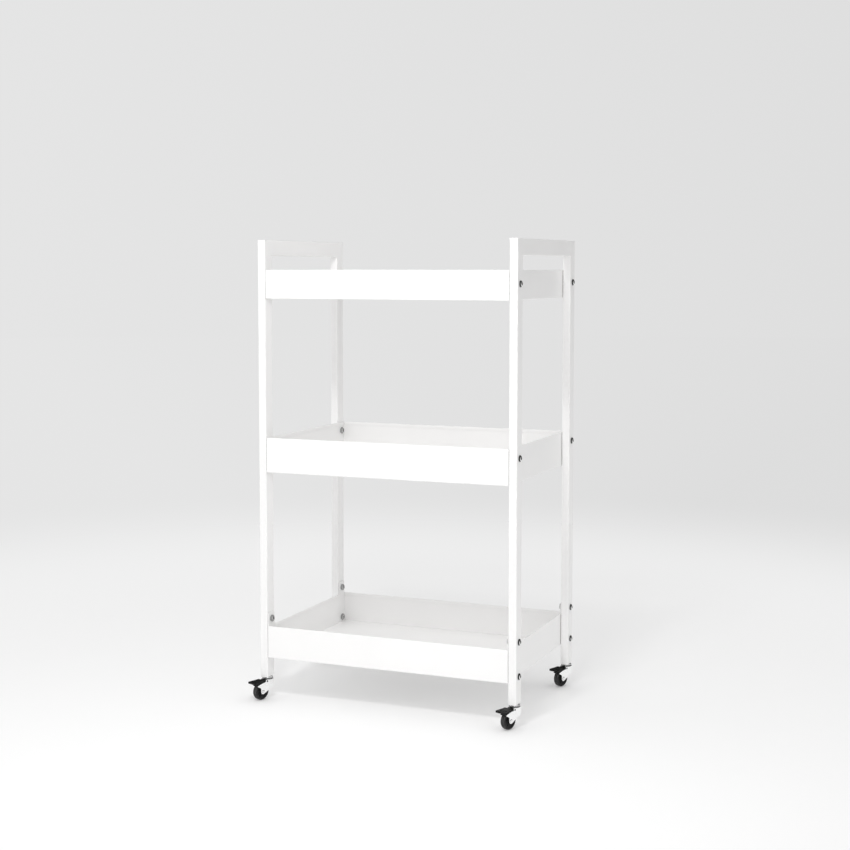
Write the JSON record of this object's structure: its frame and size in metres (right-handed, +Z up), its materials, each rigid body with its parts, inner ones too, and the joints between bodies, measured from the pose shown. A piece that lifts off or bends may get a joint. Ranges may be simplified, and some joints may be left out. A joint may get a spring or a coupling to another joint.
{
  "type": "rolling salon trolley",
  "caption": "Rectangular salon trolley with shallow sheet-metal trays bolted between two tube end frames whose crossbars are handles, on small braked swivel casters.",
  "frame": {"origin": "on the floor, under the middle of the overall box with all casters trailing as at rest", "axes": "+X towards the right end frame, +Y towards the rear, +Z up"},
  "size_m": [0.4722, 0.3208, 0.77],
  "materials": {
    "white_coat": "white powder coat with a fine satin texture",
    "plated_steel": "bright zinc or nickel plating",
    "black_plastic": "moulded black plastic, satin",
    "black_tread": "moulded black plastic wheel, matt tread"
  },
  "bodies": {
    "trolley": {"end_frame_left": "white_coat", "end_frame_right": "white_coat", "tray_top": "white_coat", "tray_middle": "white_coat", "tray_bottom": "white_coat", "bolt_top_front_left": "plated_steel", "bolt_top_front_right": "plated_steel", "bolt_top_rear_left": "plated_steel", "bolt_top_rear_right": "plated_steel", "bolt_middle_front_left": "plated_steel", "bolt_middle_front_right": "plated_steel", "bolt_middle_rear_left": "plated_steel", "bolt_middle_rear_right": "plated_steel", "bolt_bottom_upper_front_left": "plated_steel", "bolt_bottom_upper_front_right": "plated_steel", "bolt_bottom_upper_rear_left": "plated_steel", "bolt_bottom_upper_rear_right": "plated_steel", "bolt_bottom_lower_front_left": "plated_steel", "bolt_bottom_lower_front_right": "plated_steel", "bolt_bottom_lower_rear_left": "plated_steel", "bolt_bottom_lower_rear_right": "plated_steel", "nut_top_front_left": "plated_steel", "nut_top_front_right": "plated_steel", "nut_top_rear_left": "plated_steel", "nut_top_rear_right": "plated_steel", "nut_middle_front_left": "plated_steel", "nut_middle_front_right": "plated_steel", "nut_middle_rear_left": "plated_steel", "nut_middle_rear_right": "plated_steel", "nut_bottom_upper_front_left": "plated_steel", "nut_bottom_upper_front_right": "plated_steel", "nut_bottom_upper_rear_left": "plated_steel", "nut_bottom_upper_rear_right": "plated_steel", "nut_bottom_lower_front_left": "plated_steel", "nut_bottom_lower_front_right": "plated_steel", "nut_bottom_lower_rear_left": "plated_steel", "nut_bottom_lower_rear_right": "plated_steel", "caster_front_left_stem": "plated_steel", "caster_front_right_stem": "plated_steel", "caster_rear_left_stem": "plated_steel", "caster_rear_right_stem": "plated_steel"},
    "caster_front_left_fork": {"caster_front_left_fork": "plated_steel", "caster_front_left_axle": "plated_steel"},
    "caster_front_left_wheel": {"caster_front_left_wheel": "black_tread"},
    "caster_front_left_pedal": {"caster_front_left_pedal": "black_plastic"},
    "caster_front_right_fork": {"caster_front_right_fork": "plated_steel", "caster_front_right_axle": "plated_steel"},
    "caster_front_right_wheel": {"caster_front_right_wheel": "black_tread"},
    "caster_front_right_pedal": {"caster_front_right_pedal": "black_plastic"},
    "caster_rear_left_fork": {"caster_rear_left_fork": "plated_steel", "caster_rear_left_axle": "plated_steel"},
    "caster_rear_left_wheel": {"caster_rear_left_wheel": "black_tread"},
    "caster_rear_left_pedal": {"caster_rear_left_pedal": "black_plastic"},
    "caster_rear_right_fork": {"caster_rear_right_fork": "plated_steel", "caster_rear_right_axle": "plated_steel"},
    "caster_rear_right_wheel": {"caster_rear_right_wheel": "black_tread"},
    "caster_rear_right_pedal": {"caster_rear_right_pedal": "black_plastic"}
  },
  "joints": [
    {"name": "swivel_front_left", "type": "hinge", "parent": "trolley", "child": "caster_front_left_fork", "pos_m": [-0.21454, -0.12463, 0.03445], "axis": [0, 0, 1], "continuous": true},
    {"name": "roll_front_left", "type": "hinge", "parent": "caster_front_left_fork", "child": "caster_front_left_wheel", "pos_m": [-0.22016, -0.13854, 0.0144], "axis": [0.9272, -0.3746, 0], "continuous": true},
    {"name": "brake_front_left", "type": "hinge", "parent": "caster_front_left_fork", "child": "caster_front_left_pedal", "pos_m": [-0.21679, -0.13019, 0.0305], "axis": [0.9272, -0.3746, 0], "range_deg": [0, 9]},
    {"name": "swivel_front_right", "type": "hinge", "parent": "trolley", "child": "caster_front_right_fork", "pos_m": [0.22596, -0.12463, 0.03445], "axis": [0, 0, 1], "continuous": true},
    {"name": "roll_front_right", "type": "hinge", "parent": "caster_front_right_fork", "child": "caster_front_right_wheel", "pos_m": [0.22034, -0.13854, 0.0144], "axis": [0.9272, -0.3746, 0], "continuous": true},
    {"name": "brake_front_right", "type": "hinge", "parent": "caster_front_right_fork", "child": "caster_front_right_pedal", "pos_m": [0.22371, -0.13019, 0.0305], "axis": [0.9272, -0.3746, 0], "range_deg": [0, 9]},
    {"name": "swivel_rear_left", "type": "hinge", "parent": "trolley", "child": "caster_rear_left_fork", "pos_m": [-0.21454, 0.14837, 0.03445], "axis": [0, 0, 1], "continuous": true},
    {"name": "roll_rear_left", "type": "hinge", "parent": "caster_rear_left_fork", "child": "caster_rear_left_wheel", "pos_m": [-0.22016, 0.13446, 0.0144], "axis": [0.9272, -0.3746, 0], "continuous": true},
    {"name": "brake_rear_left", "type": "hinge", "parent": "caster_rear_left_fork", "child": "caster_rear_left_pedal", "pos_m": [-0.21679, 0.14281, 0.0305], "axis": [0.9272, -0.3746, 0], "range_deg": [0, 9]},
    {"name": "swivel_rear_right", "type": "hinge", "parent": "trolley", "child": "caster_rear_right_fork", "pos_m": [0.22596, 0.14837, 0.03445], "axis": [0, 0, 1], "continuous": true},
    {"name": "roll_rear_right", "type": "hinge", "parent": "caster_rear_right_fork", "child": "caster_rear_right_wheel", "pos_m": [0.22034, 0.13446, 0.0144], "axis": [0.9272, -0.3746, 0], "continuous": true},
    {"name": "brake_rear_right", "type": "hinge", "parent": "caster_rear_right_fork", "child": "caster_rear_right_pedal", "pos_m": [0.22371, 0.14281, 0.0305], "axis": [0.9272, -0.3746, 0], "range_deg": [0, 9]}
  ]
}
